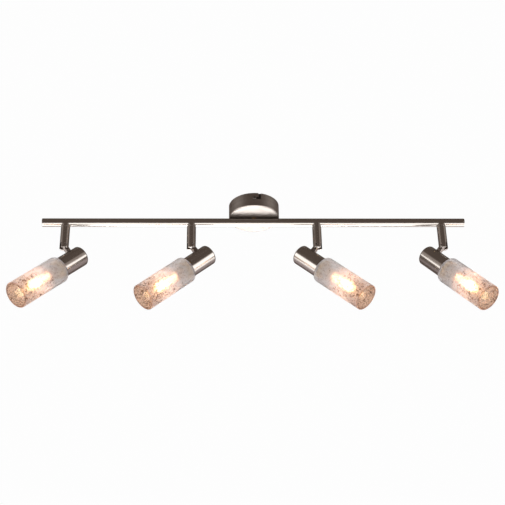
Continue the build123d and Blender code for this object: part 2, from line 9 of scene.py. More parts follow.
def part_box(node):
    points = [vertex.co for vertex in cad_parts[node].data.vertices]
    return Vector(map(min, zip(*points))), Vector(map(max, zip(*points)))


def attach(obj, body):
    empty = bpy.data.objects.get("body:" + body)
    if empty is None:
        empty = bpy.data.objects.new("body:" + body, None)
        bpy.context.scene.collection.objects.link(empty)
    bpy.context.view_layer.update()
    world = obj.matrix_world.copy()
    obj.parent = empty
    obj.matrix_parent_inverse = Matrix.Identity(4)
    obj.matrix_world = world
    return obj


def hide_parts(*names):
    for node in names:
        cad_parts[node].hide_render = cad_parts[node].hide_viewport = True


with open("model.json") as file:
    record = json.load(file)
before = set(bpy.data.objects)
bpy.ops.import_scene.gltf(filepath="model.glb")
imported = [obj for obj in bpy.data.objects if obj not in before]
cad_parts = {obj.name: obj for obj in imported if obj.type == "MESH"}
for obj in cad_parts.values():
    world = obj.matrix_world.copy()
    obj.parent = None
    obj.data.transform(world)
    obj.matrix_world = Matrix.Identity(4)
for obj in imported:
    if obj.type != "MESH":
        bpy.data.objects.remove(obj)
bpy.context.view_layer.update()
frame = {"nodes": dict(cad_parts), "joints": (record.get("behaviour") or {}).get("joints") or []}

scene = bpy.context.scene
nodes = frame["nodes"]
joints = {joint["name"]: joint for joint in frame["joints"]}
MM = 0.001

# ---------------------------------------------------------------- the view
# A long lens well below and in front of the bar, a little left of its middle, looking up at it. It is
# turned slightly about its own axis, so that the bar drops towards the right.
VIEW_TARGET = Vector((-3.93, 0, -101.94)) * MM
VIEW_DISTANCE = 2260.77 * MM
VIEW_YAW = math.radians(-1.769)
VIEW_RISE = math.radians(30.618)
VIEW_ROLL = math.radians(-0.913)

camera = bpy.data.objects.new("view", bpy.data.cameras.new("view"))
scene.collection.objects.link(camera)
camera.data.lens = 86.226
camera.data.sensor_width = 36
camera.data.clip_start = 0.05
camera.data.clip_end = 60
towards_camera = Vector((
    math.sin(VIEW_YAW) * math.cos(VIEW_RISE),
    -math.cos(VIEW_YAW) * math.cos(VIEW_RISE),
    -math.sin(VIEW_RISE),
))
camera.location = VIEW_TARGET + towards_camera * VIEW_DISTANCE
camera.rotation_mode = "QUATERNION"
camera.rotation_quaternion = towards_camera.to_track_quat("Z", "Y") @ Quaternion((0, 0, 1), VIEW_ROLL)
scene.camera = camera


# ---------------------------------------------------------------- the room
# A pale floor a room's height below the ceiling, low white screens all round, a soft box at each side and
# grey and dull screens behind, in a dim room. Nickel mirrors these, which makes its dark and bright bands.
def place(tree, kind, sockets=None, **properties):
    """Puts a node in the tree; each socket takes a plain value or another node's output."""
    node = tree.nodes.new(kind)
    for name, value in properties.items():
        setattr(node, name, value)
    for name, value in (sockets or {}).items():
        if isinstance(value, bpy.types.NodeSocket):
            tree.links.new(value, node.inputs[name])
        else:
            node.inputs[name].default_value = value
    return node


def sum_of(tree, operation, first, second):
    """The output of a maths node."""
    return place(tree, "ShaderNodeMath", {0: first, 1: second}, operation=operation).outputs[0]


def ramp(tree, value, low, high, start=0.0, end=1.0, kind="SMOOTHSTEP"):
    """The value's place between low and high, run from start to end."""
    sockets = {"Value": value, "From Min": low, "From Max": high, "To Min": start, "To Max": end}
    return place(tree, "ShaderNodeMapRange", sockets, interpolation_type=kind).outputs[0]


def mix(tree, share, first, second, blend_type="MIX"):
    """Two colours mixed."""
    node = place(tree, "ShaderNodeMix", data_type="RGBA", blend_type=blend_type)
    for index, value in ((0, share), (6, first), (7, second)):
        if isinstance(value, bpy.types.NodeSocket):
            tree.links.new(value, node.inputs[index])
        else:
            node.inputs[index].default_value = value
    return node.outputs[2]


def bearing(value, start, end, low=0.0, high=1.0):
    """A ramp over the bearing from straight in front, in degrees to either side."""
    return ramp(tree, value, math.radians(start), math.radians(end), low, high)


FLOOR_LEVEL = -2.4
PLAIN_WHITE = (0.985, 0.985, 0.985, 1)
MIRRORED_TWICE = 0.15
SCREEN_WHITE = (1.55, 1.50, 1.46, 1)
DIM_ROOM = (0.098, 0.076, 0.064, 1)
GREY_SIDES = (0.31, 0.265, 0.24, 1)
GREY_BEHIND = (0.36, 0.30, 0.30, 1)
DULL_BEHIND = (0.92, 0.84, 0.83, 1)
LOW_BEHIND = (9.5, 9.4, 9.3, 1)

world = bpy.data.worlds.new("room")
scene.world = world
world.use_nodes = True
tree = world.node_tree
tree.nodes.clear()
way = place(tree, "ShaderNodeTexCoord").outputs["Generated"]
way = place(tree, "ShaderNodeSeparateXYZ", {"Vector": way}).outputs
height = way["Z"]
forward = sum_of(tree, "MULTIPLY", way["Y"], -1.0)
side = sum_of(tree, "ABSOLUTE", way["X"], 0.0)
turn = sum_of(tree, "ARCTAN2", side, forward)
# low white screens: from 42 degrees down in front, 12 at the sides and 25 behind
rim = sum_of(tree, "ADD", bearing(turn, 40, 85, -0.67, -0.20), bearing(turn, 96, 135, 0.0, -0.23))
below = sum_of(tree, "SUBTRACT", rim, height)
# a tall soft box at each side, white low down and grey above
beside = sum_of(tree, "MULTIPLY", bearing(turn, 53, 61), bearing(turn, 92, 82))
beside = sum_of(tree, "MULTIPLY", beside, ramp(tree, height, 0.27, 0.14))
fringe = sum_of(tree, "MULTIPLY", bearing(turn, 49, 58), bearing(turn, 104, 94))
fringe = sum_of(tree, "MULTIPLY", fringe, ramp(tree, height, 0.60, 0.53))
# a low grey screen behind, and a narrow one above it straight behind
low_screen = sum_of(tree, "MULTIPLY", bearing(turn, 98, 108), ramp(tree, height, -0.04, -0.12))
high_screen = sum_of(tree, "MULTIPLY", bearing(turn, 160, 168), ramp(tree, height, 0.18, 0.26))
high_screen = sum_of(tree, "MULTIPLY", high_screen, ramp(tree, height, 0.60, 0.50))
behind = sum_of(tree, "MAXIMUM", low_screen, high_screen)
room = mix(tree, behind, DIM_ROOM, GREY_BEHIND)
room = mix(tree, fringe, room, GREY_SIDES)
room = mix(tree, beside, room, SCREEN_WHITE)
room = mix(tree, ramp(tree, below, -0.05, 0.05), room, SCREEN_WHITE)
# the screen behind is duller, with a bright narrow one low down; what is mirrored twice is dimmer
dull = sum_of(tree, "MULTIPLY", bearing(turn, 145, 165), ramp(tree, height, -0.72, -0.64))
dull = sum_of(tree, "MULTIPLY", dull, ramp(tree, height, -0.38, -0.44))
room = mix(tree, dull, room, DULL_BEHIND)
glare = sum_of(tree, "MULTIPLY", bearing(turn, 173, 176), ramp(tree, height, -0.50, -0.58))
room = mix(tree, glare, room, LOW_BEHIND)
rays = place(tree, "ShaderNodeLightPath").outputs
once = ramp(tree, rays["Glossy Depth"], 1.4, 1.6, 1.0, MIRRORED_TWICE)
room = mix(tree, once, DIM_ROOM, room)
straight = sum_of(tree, "MAXIMUM", rays["Is Camera Ray"], rays["Is Transmission Ray"])
room = mix(tree, straight, room, PLAIN_WHITE)
background = place(tree, "ShaderNodeBackground", {"Color": room, "Strength": 1.0})
place(tree, "ShaderNodeOutputWorld", {"Surface": background.outputs[0]})

mesh = bpy.data.meshes.new("floor")
shape = bmesh.new()
bmesh.ops.create_grid(shape, x_segments=8, y_segments=8, size=7)
bmesh.ops.translate(shape, verts=shape.verts, vec=(0, 0, FLOOR_LEVEL))
shape.to_mesh(mesh)
shape.free()
floor = bpy.data.objects.new("floor", mesh)
scene.collection.objects.link(floor)
floor_paint = bpy.data.materials.new("floor_paint")
floor_paint.use_nodes = True
shader = floor_paint.node_tree.nodes["Principled BSDF"]
shader.inputs["Base Color"].default_value = (0.86, 0.86, 0.85, 1)
shader.inputs["Roughness"].default_value = 0.8
shader.inputs["Emission Color"].default_value = (1.0, 0.99, 0.98, 1)
shader.inputs["Emission Strength"].default_value = 0.5
mesh.materials.append(floor_paint)
floor.visible_glossy = False

for name, place_at, size, power in (
    ("soft_left", (-1.9, -1.9, 1.0), 1.6, 60),
    ("soft_right", (2.0, -1.2, 1.1), 1.4, 34),
    ("soft_back", (0.2, 2.2, 1.3), 1.8, 40),
    ("soft_top", (0, 0, 2.6), 2.4, 130),
):
    lamp = bpy.data.lights.new(name, "AREA")
    lamp.size = size
    lamp.energy = power
    lamp.color = (1, 0.985, 0.965)
    light = bpy.data.objects.new(name, lamp)
    scene.collection.objects.link(light)
    light.location = place_at
    light.rotation_mode = "QUATERNION"
    light.rotation_quaternion = (Vector(place_at) - VIEW_TARGET).to_track_quat("Z", "Y")
    light.visible_camera = False
    light.visible_glossy = False
    light.visible_transmission = False
scene.view_settings.view_transform = "Standard"


# ---------------------------------------------------------------- ceiling bracket, locknut and washer
# A pressed steel strap with a tab at each end for the canopy's side screws and an ear for the terminal
# block, in black zinc plate, with the hexagon locknut and the toothed washer in bright zinc.
def new_group(name, inputs, outputs):
    """A shared effect: its tree, the outputs of its entry and the inputs of its exit."""
    tree = bpy.data.node_groups.new(name, "ShaderNodeTree")
    for socket, kind, value in inputs:
        made = tree.interface.new_socket(socket, in_out="INPUT", socket_type=kind)
        if value is not None:
            made.default_value = value
    for socket, kind in outputs:
        tree.interface.new_socket(socket, in_out="OUTPUT", socket_type=kind)
    entry = tree.nodes.new("NodeGroupInput").outputs
    return tree, entry, tree.nodes.new("NodeGroupOutput").inputs


def use_group(tree, group, sockets):
    """Places a shared effect and gives its outputs."""
    node = place(tree, "ShaderNodeGroup", node_tree=group)
    for name, value in sockets.items():
        if isinstance(value, bpy.types.NodeSocket):
            tree.links.new(value, node.inputs[name])
        else:
            node.inputs[name].default_value = value
    return node.outputs


# Worn edges: the plating rubs bright where the surface turns sharply, and every edge has a small round.
worn_edges, entry, leave = new_group(
    "worn edges",
    [("Vector", "NodeSocketVector", None), ("Round", "NodeSocketFloat", 0.0003),
     ("Patches", "NodeSocketFloat", 300.0)],
    [("Wear", "NodeSocketFloat"), ("Normal", "NodeSocketVector")],
)
tree = worn_edges
soft = place(tree, "ShaderNodeBevel", {"Radius": entry["Round"]}, samples=4).outputs[0]
flat = place(tree, "ShaderNodeNewGeometry").outputs["Normal"]
turned = place(tree, "ShaderNodeVectorMath", {0: soft, 1: flat}, operation="DOT_PRODUCT").outputs["Value"]
patches = place(tree, "ShaderNodeTexNoise", {
    "Vector": entry["Vector"], "Scale": entry["Patches"], "Detail": 3.0,
})
wear = sum_of(tree, "MULTIPLY", ramp(tree, turned, 0.99, 0.86), ramp(tree, patches.outputs[0], 0.35, 0.65))
tree.links.new(wear, leave["Wear"])
tree.links.new(soft, leave["Normal"])

# Handling: faint finger smears and dust that dull the shine in patches.
handling, entry, leave = new_group(
    "handling", [("Vector", "NodeSocketVector", None)],
    [("Smear", "NodeSocketFloat"), ("Dust", "NodeSocketFloat")],
)
tree = handling
broad = place(tree, "ShaderNodeTexNoise", {
    "Vector": entry["Vector"], "Scale": 34.0, "Detail": 4.0, "Distortion": 1.2,
})
specks = place(tree, "ShaderNodeTexNoise", {"Vector": entry["Vector"], "Scale": 2400.0, "Detail": 1.0})
tree.links.new(ramp(tree, broad.outputs[0], 0.42, 0.7), leave["Smear"])
tree.links.new(ramp(tree, specks.outputs[0], 0.68, 0.76), leave["Dust"])

# Fine lines left by drawing, brushing or turning: the vector comes in already stretched along the lines.
fine_lines, entry, leave = new_group(
    "fine lines", [("Vector", "NodeSocketVector", None)],
    [("Lines", "NodeSocketFloat"), ("Streaks", "NodeSocketFloat")],
)
tree = fine_lines
lines = place(tree, "ShaderNodeTexNoise", {
    "Vector": entry["Vector"], "Scale": 1.0, "Detail": 3.0, "Roughness": 0.65,
})
wide = place(tree, "ShaderNodeVectorMath", {0: entry["Vector"], "Scale": 0.16}, operation="SCALE").outputs[0]
streaks = place(tree, "ShaderNodeTexNoise", {"Vector": wide, "Scale": 1.0, "Detail": 2.0})
tree.links.new(lines.outputs[0], leave["Lines"])
tree.links.new(ramp(tree, streaks.outputs[0], 0.35, 0.68, kind="LINEAR"), leave["Streaks"])


def metal(name, colour, deep, shine, spread, stretch, turned=False, origin=(0, 0, 0), turn=(0, 0, 0),
          edge=0.0003, bright=None, depth=0.00002):
    """Plated or turned metal. stretch is the lines' count per metre along and across the piece's axis."""
    material = bpy.data.materials.new(name)
    material.use_nodes = True
    tree = material.node_tree
    shader = tree.nodes["Principled BSDF"]
    here = place(tree, "ShaderNodeTexCoord").outputs["Object"]
    here = place(tree, "ShaderNodeMapping", {"Vector": here, "Location": origin, "Rotation": turn},
                 vector_type="TEXTURE").outputs[0]
    if turned:
        part = place(tree, "ShaderNodeSeparateXYZ", {"Vector": here}).outputs
        side = place(tree, "ShaderNodeCombineXYZ", {"Y": part["Y"], "Z": part["Z"]}).outputs[0]
        out = place(tree, "ShaderNodeVectorMath", {0: side}, operation="LENGTH").outputs["Value"]
        place_on = place(tree, "ShaderNodeCombineXYZ", {
            "X": sum_of(tree, "MULTIPLY", part["X"], stretch[1]),
            "Y": sum_of(tree, "MULTIPLY", out, stretch[1]),
            "Z": sum_of(tree, "MULTIPLY", part["Y"], stretch[0]),
        }).outputs[0]
    else:
        place_on = place(tree, "ShaderNodeMapping",
                         {"Vector": here, "Scale": (stretch[0], stretch[1], stretch[1])}).outputs[0]
    drawn = use_group(tree, fine_lines, {"Vector": place_on})
    edges = use_group(tree, worn_edges, {"Vector": here, "Round": edge})
    marks = use_group(tree, handling, {"Vector": here})
    tint = mix(tree, sum_of(tree, "MULTIPLY", drawn["Streaks"], 0.55), (*colour, 1), (*deep, 1))
    tint = mix(tree, sum_of(tree, "MULTIPLY", edges["Wear"], 0.7), tint, (*(bright or colour), 1))
    tree.links.new(tint, shader.inputs["Base Color"])
    shader.inputs["Metallic"].default_value = 1.0
    dull = ramp(tree, drawn["Lines"], 0.25, 0.75, shine - spread, shine + spread, "LINEAR")
    dull = sum_of(tree, "ADD", dull, sum_of(tree, "MULTIPLY", marks["Smear"], 0.05))
    dull = sum_of(tree, "ADD", dull, sum_of(tree, "MULTIPLY", marks["Dust"], 0.2))
    tree.links.new(dull, shader.inputs["Roughness"])
    bump = place(tree, "ShaderNodeBump", {
        "Strength": 1.0, "Distance": depth, "Height": drawn["Lines"], "Normal": edges["Normal"],
    })
    tree.links.new(bump.outputs[0], shader.inputs["Normal"])
    return material


def dress(material, *names):
    """Gives CAD pieces a finish."""
    for name in names:
        nodes[name].data.materials.clear()
        nodes[name].data.materials.append(material)


ZINC = (0.72, 0.735, 0.75)
ZINC_DEEP = (0.56, 0.585, 0.60)
dress(metal("black_zinc_sheet", (0.17, 0.165, 0.16), (0.10, 0.10, 0.10), 0.42, 0.07, (40, 700), edge=0.0004,
            bright=ZINC_DEEP), "ceiling_bracket")
dress(metal("zinc_nut", ZINC, ZINC_DEEP, 0.26, 0.06, (60, 2200), turned=True, turn=(0, math.pi / 2, 0)),
      "canopy_locknut", "lock_washer")

# ---------------------------------------------------------------- small screws
# Slotted pan-head screws that hold the canopy and the earth lead, and the clamp screws of the terminal
# block: turned steel with thin nickel plate, a little darker than the sheet round them.
dress(metal("screw_plate", (0.34, 0.32, 0.30), (0.22, 0.20, 0.18), 0.32, 0.08, (90, 3000), edge=0.00025,
            bright=(0.5, 0.48, 0.45)),
      "cover_screws", "earth_screw", "terminal_screws")


# ---------------------------------------------------------------- terminal block and swivel washers
# A three-pole block moulded in off-white nylon with brass clamps inside, and the thin nylon washers that
# the swivel studs' heads turn on inside the bar.
def moulded(name, colour, shade, shine, grain=900.0, depth=0.00004, edge=0.0005):
    """Moulded or fired material: a fine skin texture, softened edges and a little grime in patches."""
    material = bpy.data.materials.new(name)
    material.use_nodes = True
    tree = material.node_tree
    shader = tree.nodes["Principled BSDF"]
    here = place(tree, "ShaderNodeTexCoord").outputs["Object"]
    skin = place(tree, "ShaderNodeTexNoise", {"Vector": here, "Scale": grain, "Detail": 4.0}).outputs[0]
    edges = use_group(tree, worn_edges, {"Vector": here, "Round": edge})
    marks = use_group(tree, handling, {"Vector": here})
    tint = mix(tree, marks["Smear"], (*colour, 1), (*shade, 1))
    tint = mix(tree, sum_of(tree, "MULTIPLY", skin, 0.25), tint, (*shade, 1))
    tree.links.new(tint, shader.inputs["Base Color"])
    tree.links.new(ramp(tree, skin, 0.3, 0.7, shine - 0.06, shine + 0.08, "LINEAR"), shader.inputs["Roughness"])
    bump = place(tree, "ShaderNodeBump", {
        "Strength": 1.0, "Distance": depth, "Height": skin, "Normal": edges["Normal"],
    })
    tree.links.new(bump.outputs[0], shader.inputs["Normal"])
    return material


dress(moulded("white_nylon", (0.84, 0.84, 0.80), (0.70, 0.69, 0.63), 0.46), "terminal_block", "swivel_washers")

BRASS = (0.80, 0.60, 0.28)
BRASS_DEEP = (0.58, 0.40, 0.16)
BRASS_BRIGHT = (0.9, 0.72, 0.4)
brass_turned = metal("brass_turned", BRASS, BRASS_DEEP, 0.24, 0.07, (90, 2600), turned=True,
                     turn=(0, math.pi / 2, 0), bright=BRASS_BRIGHT)
dress(metal("brass_bar", BRASS, BRASS_DEEP, 0.3, 0.06, (90, 1500), bright=BRASS_BRIGHT), "terminal_clamps")

# ---------------------------------------------------------------- canopy and the threaded tube through it
# A deep-drawn steel cup, spun and brushed round its axis and plated satin nickel; its rim meets the
# ceiling, and two side screws lock it in L-shaped slots. The brass tube below it is brazed to the bar.
NICKEL = (0.80, 0.765, 0.73)
NICKEL_DEEP = (0.62, 0.575, 0.53)
NICKEL_BRIGHT = (0.93, 0.90, 0.87)
CANOPY_NICKEL = (0.64, 0.60, 0.565)
CANOPY_NICKEL_DEEP = (0.48, 0.435, 0.40)
dress(metal("nickel_canopy", CANOPY_NICKEL, CANOPY_NICKEL_DEEP, 0.44, 0.06, (14, 1300), turned=True,
            turn=(0, math.pi / 2, 0), bright=NICKEL_BRIGHT, edge=0.0004), "canopy_cover")
dress(brass_turned, "canopy_nipple")

# ---------------------------------------------------------------- bar, its end plugs and the stem collars
# A drawn steel tube of 16 mm, polished along its length and plated, closed by two pressed plugs, with a
# coped collar under it at each stem.
bar_middle = tuple((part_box("bar_tube")[0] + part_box("bar_tube")[1]) / 2)
nickel_drawn = metal("nickel_drawn", NICKEL, NICKEL_DEEP, 0.15, 0.04, (9, 1500), bright=NICKEL_BRIGHT,
                     origin=bar_middle)
dress(nickel_drawn, "bar_tube")
dress(metal("nickel_plug", NICKEL, NICKEL_DEEP, 0.2, 0.05, (20, 1800), turned=True, origin=bar_middle,
            bright=NICKEL_BRIGHT),
      "bar_end_plugs")
dress(metal("nickel_collar", NICKEL, NICKEL_DEEP, 0.18, 0.04, (1300, 12), bright=NICKEL_BRIGHT), "stem_saddles")


# ---------------------------------------------------------------- leads
# Heat-proof silicone sleeves, chalky white and faintly ribbed by the glass braid under them, run from the
# block through tube and bar to each knuckle; the earth lead's sleeve is green and yellow.
def sleeve(name, colour, shade, stripe=None):
    material = bpy.data.materials.new(name)
    material.use_nodes = True
    tree = material.node_tree
    shader = tree.nodes["Principled BSDF"]
    here = place(tree, "ShaderNodeTexCoord").outputs["Object"]
    braid = place(tree, "ShaderNodeTexVoronoi", {"Vector": here, "Scale": 2200.0}).outputs["Distance"]
    broad = place(tree, "ShaderNodeTexNoise", {"Vector": here, "Scale": 60.0, "Detail": 3.0}).outputs[0]
    tint = mix(tree, broad, (*colour, 1), (*shade, 1))
    if stripe:
        wave = place(tree, "ShaderNodeTexWave", {"Vector": here, "Scale": 60.0, "Distortion": 0.6},
                     bands_direction="DIAGONAL").outputs["Fac"]
        tint = mix(tree, ramp(tree, wave, 0.48, 0.52), tint, (*stripe, 1))
    tree.links.new(tint, shader.inputs["Base Color"])
    tree.links.new(ramp(tree, broad, 0.3, 0.7, 0.5, 0.68, "LINEAR"), shader.inputs["Roughness"])
    bump = place(tree, "ShaderNodeBump", {"Strength": 0.7, "Distance": 0.00008, "Height": braid})
    tree.links.new(bump.outputs[0], shader.inputs["Normal"])
    return material


silicone = sleeve("silicone_sleeve", (0.82, 0.80, 0.74), (0.70, 0.67, 0.60))
dress(silicone, "bar_leads")
dress(sleeve("earth_sleeve", (0.10, 0.36, 0.07), (0.08, 0.28, 0.06), (0.75, 0.62, 0.05)), "earth_lead")


# ---------------------------------------------------------------- the four heads' places
# Each head hangs on a tongue that tilts between its stem's two lugs. Inside a head everything is round
# about one axis, so its pieces are made lying on X and then turned and moved to where the joint is.
class Head:
    def __init__(self, number):
        self.number = number
        joint = joints[f"tilt_{number}"]
        self.facing = math.atan2(-joint["axis"][0], joint["axis"][1])
        self.dip = math.radians(-joint["range_deg"][0])
        self.turn = Matrix.Rotation(self.facing, 4, "Z") @ Matrix.Rotation(self.dip, 4, "Y")
        self.pivot = Vector(joint["pos_m"])
        self.knuckle = Matrix.Translation(self.pivot) @ self.turn
        span = self.reach(self.knuckle, f"cup_{number}")
        self.drop = -(span[0].z + span[1].z) / 2
        self.axis = self.knuckle @ Matrix.Translation((0, 0, -self.drop))
        self.centre = tuple(self.axis.translation)
        self.euler = tuple(self.turn.to_euler())

    def reach(self, frame_at, node):
        """Lowest and highest corner of a CAD piece, in the given frame."""
        back = frame_at.inverted()
        places = [back @ vertex.co for vertex in nodes[node].data.vertices]
        low = Vector([min(p[i] for p in places) for i in range(3)])
        return low, Vector([max(p[i] for p in places) for i in range(3)])

    def radii(self, node, near, far):
        """Smallest and largest distance from the head's axis of a CAD piece between two places on it."""
        back = self.axis.inverted()
        places = [back @ vertex.co for vertex in nodes[node].data.vertices]
        out = [math.hypot(p.y, p.z) for p in places if near <= p.x <= far]
        return min(out), max(out)


heads = [Head(number) for number in range(1, 5)]

# ---------------------------------------------------------------- stems, their studs and axle screws
# Turned nickel rods, bored for the lead and slotted below into two lugs; a hollow brass stud carries each
# one in the bar, and two grub screws in the lugs are the axle of the tongue.
for head in heads:
    number = head.number
    stem_grain = metal(f"nickel_stem_{number}", NICKEL, NICKEL_DEEP, 0.17, 0.04, (12, 1500),
                       origin=tuple(head.pivot), turn=(0, math.pi / 2, 0), bright=NICKEL_BRIGHT)
    dress(stem_grain, f"stem_{number}")
    dress(brass_turned, f"swivel_stud_{number}")
    dress(metal(f"grub_steel_{number}", (0.52, 0.50, 0.48), (0.36, 0.34, 0.32), 0.3, 0.07, (60, 2600),
                turned=True, origin=tuple(head.pivot), turn=(0, 0, head.facing + math.pi / 2),
                bright=(0.75, 0.73, 0.7)), f"pivot_screws_{number}")

# ---------------------------------------------------------------- tongues
# Die-cast zinc, tumbled and nickel plated: an eye between the lugs and a shank down to the cup, where a
# threaded stub goes through and takes a nut. The skin is a little softer than the drawn parts.
for head in heads:
    dress(metal(f"nickel_cast_{head.number}", (0.50, 0.45, 0.42), (0.38, 0.335, 0.31), 0.40, 0.05, (500, 700),
                origin=tuple(head.pivot), turn=head.euler, edge=0.0008, bright=(0.66, 0.61, 0.57),
                depth=0.00003), f"tongue_{head.number}")

# ---------------------------------------------------------------- cups and the sleeves in their mouths
# Deep-drawn steel cups polished along their length and plated satin nickel, with a rounded closed back;
# a flanged steel sleeve is pressed into each mouth to carry the shade and the lampholder.
for head in heads:
    number = head.number
    dress(metal(f"nickel_cup_{number}", NICKEL, NICKEL_DEEP, 0.14, 0.035, (10, 900),
                origin=head.centre, turn=head.euler, bright=NICKEL_BRIGHT), f"cup_{number}")
    dress(metal(f"zinc_sleeve_{number}", ZINC, ZINC_DEEP, 0.28, 0.06, (30, 2000), turned=True,
                origin=head.centre, turn=head.euler), f"shade_sleeve_{number}")


# ---------------------------------------------------------------- glass shades
# Blown glass tubes, open in front, with a rounded shoulder and a hole in the back. The outside carries an
# etched ice pattern: frosted and mottled near the cup, and loose curls and flakes towards the mouth.
# The outer skin also gives off a painted glow of lamp light round the lamp and towards the mouth.
SHADE_STEPS = 192
WALL_CUTS = 150
LINING_CUTS = 70
RELIEF = 0.30 * MM
SHOULDER = 6.2 * MM
LIP_ROUND = 1.2 * MM
RELIEF_START = SHOULDER + 0.3 * MM
RELIEF_END = LIP_ROUND + 0.3 * MM

# The noise's own offsets follow the clock unless they are given a seed.
NOISE_SEED = 11
noise.seed_set(NOISE_SEED)
# The painted glow of lamp light in the glass: its middle lies this far ahead of the lamp's middle, and this is
# its colour.
PAINTED_GLOW_AHEAD = 11 * MM
PAINTED_GLOW = (1.0, 0.60, 0.43)
CLEAR_GLASS = (0.97, 0.90, 0.86, 1)
FROSTED_GLASS = (0.80, 0.765, 0.775, 1)
MOTTLED_GLASS = (0.54, 0.47, 0.45, 1)
LINING_COOL = (0.88, 0.85, 0.84, 1)
# painted warm lamp light on the lining towards the mouth
LINING_PAINTED_LAMPLIGHT = (0.56, 0.34, 0.22, 1)
CURL_BROWN = (0.10, 0.045, 0.025, 1)
LIP_BROWN = (0.30, 0.15, 0.09, 1)


def spun(corners, rounds, steps, cuts=()):
    """A closed profile, given by its corners as (along, out), rounded and spun about the X axis."""
    shape = bmesh.new()
    points = [shape.verts.new((along, 0, out)) for along, out in corners]
    for index, point in enumerate(points):
        shape.edges.new((point, points[(index + 1) % len(points)]))
    for index, radius, segments in rounds:
        bmesh.ops.bevel(shape, geom=[points[index]], offset=radius, offset_type="OFFSET", segments=segments,
                        profile=0.5, material=-1, affect="VERTICES")
    for out, pieces in cuts:
        walls = [e for e in shape.edges
                 if e.calc_length() > 8 * MM and all(abs(v.co.z - out) < 0.01 * MM for v in e.verts)]
        bmesh.ops.subdivide_edges(shape, edges=walls, cuts=pieces)
    bmesh.ops.spin(shape, geom=shape.verts[:] + shape.edges[:], cent=(0, 0, 0), axis=(1, 0, 0),
                   dvec=(0, 0, 0), angle=math.tau, steps=steps, use_merge=True, use_duplicate=False)
    bmesh.ops.remove_doubles(shape, verts=shape.verts, dist=1e-7)
    bmesh.ops.recalc_face_normals(shape, faces=shape.faces)
    return shape


def finish_piece(name, shape, head, material, slot, *stands_for):
    """Puts a piece made about the X axis on its head, and ties it to the CAD."""
    shape.transform(head.axis)
    mesh = bpy.data.meshes.new(name)
    shape.to_mesh(mesh)
    shape.free()
    for polygon in mesh.polygons:
        polygon.use_smooth = True
    mesh.materials.append(material)
    piece = bpy.data.objects.new(name, mesh)
    scene.collection.objects.link(piece)
    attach(piece, f"head_{head.number}")
    if stands_for:
        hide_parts(*stands_for)
    return piece


def ice_glass(head, painted_glow_middle, mouth):
    """Etched glass: frosted where the etch is deep, clear between, brown in the curls, with a painted glow of
    lamp light in its outer skin.
    """
    material = bpy.data.materials.new(f"ice_glass_{head.number}")
    material.use_nodes = True
    tree = material.node_tree
    shader = tree.nodes["Principled BSDF"]
    here = place(tree, "ShaderNodeTexCoord").outputs["Object"]
    here = place(tree, "ShaderNodeMapping", {"Vector": here, "Location": head.centre, "Rotation": head.euler},
                 vector_type="TEXTURE").outputs[0]
    along = place(tree, "ShaderNodeSeparateXYZ", {"Vector": here}).outputs["X"]
    etch = place(tree, "ShaderNodeAttribute", attribute_name="etch").outputs["Fac"]
    curl = place(tree, "ShaderNodeAttribute", attribute_name="curl").outputs["Fac"]
    mottle = place(tree, "ShaderNodeTexNoise", {
        "Vector": here, "Scale": 260.0, "Detail": 3.0, "Distortion": 0.8,
    }).outputs[0]
    skin = place(tree, "ShaderNodeAttribute", attribute_name="skin").outputs["Fac"]
    # The lining turns from pale grey to warm brown from just behind the glow's middle to near the mouth:
    # painted warm lamp light.
    warm = ramp(tree, along, painted_glow_middle - 0.016, mouth - 0.012)
    tint = mix(tree, etch, CLEAR_GLASS, FROSTED_GLASS)
    tint = mix(tree, ramp(tree, mottle, 0.46, 0.68), tint, MOTTLED_GLASS)
    lining = mix(tree, warm, LINING_COOL, LINING_PAINTED_LAMPLIGHT)
    tint = mix(tree, skin, lining, tint)
    tint = mix(tree, curl, tint, CURL_BROWN)
    lip = ramp(tree, along, mouth - 0.0024, mouth - 0.0008)
    tint = mix(tree, sum_of(tree, "MULTIPLY", lip, 0.75), tint, LIP_BROWN)
    tree.links.new(tint, shader.inputs["Base Color"])
    rough = ramp(tree, etch, 0, 1, 0.46, 0.33, "LINEAR")
    rough = sum_of(tree, "MULTIPLY", rough, ramp(tree, skin, 0, 1, 0.3, 1, "LINEAR"))
    tree.links.new(rough, shader.inputs["Roughness"])
    shader.inputs["Transmission Weight"].default_value = 0.80
    shader.inputs["IOR"].default_value = 1.45
    # Painted lamp light: the glass's outer skin glows brightest round the glow's middle, less from there to the
    # mouth, and hardly at all in the curls.
    away = sum_of(tree, "ABSOLUTE", sum_of(tree, "SUBTRACT", along, painted_glow_middle), 0.0)
    painted_glow = ramp(tree, away, 0.034, 0.008)
    forward = ramp(tree, along, painted_glow_middle - 0.012, painted_glow_middle + 0.02)
    painted_glow = sum_of(tree, "MAXIMUM", painted_glow, sum_of(tree, "MULTIPLY", forward, 0.45))
    painted_glow = sum_of(tree, "MULTIPLY", painted_glow, ramp(tree, curl, 0, 1, 1, 0.05, "LINEAR"))
    painted_glow = sum_of(tree, "MULTIPLY", painted_glow, skin)
    painted_glow_colour = mix(tree, painted_glow, (0, 0, 0, 1), (*PAINTED_GLOW, 1))
    tree.links.new(painted_glow_colour, shader.inputs["Emission Color"])
    shader.inputs["Emission Strength"].default_value = 0.32
    bump = place(tree, "ShaderNodeBump", {"Strength": 0.5, "Distance": 0.0002, "Height": mottle})
    tree.links.new(bump.outputs[0], shader.inputs["Normal"])
    return material


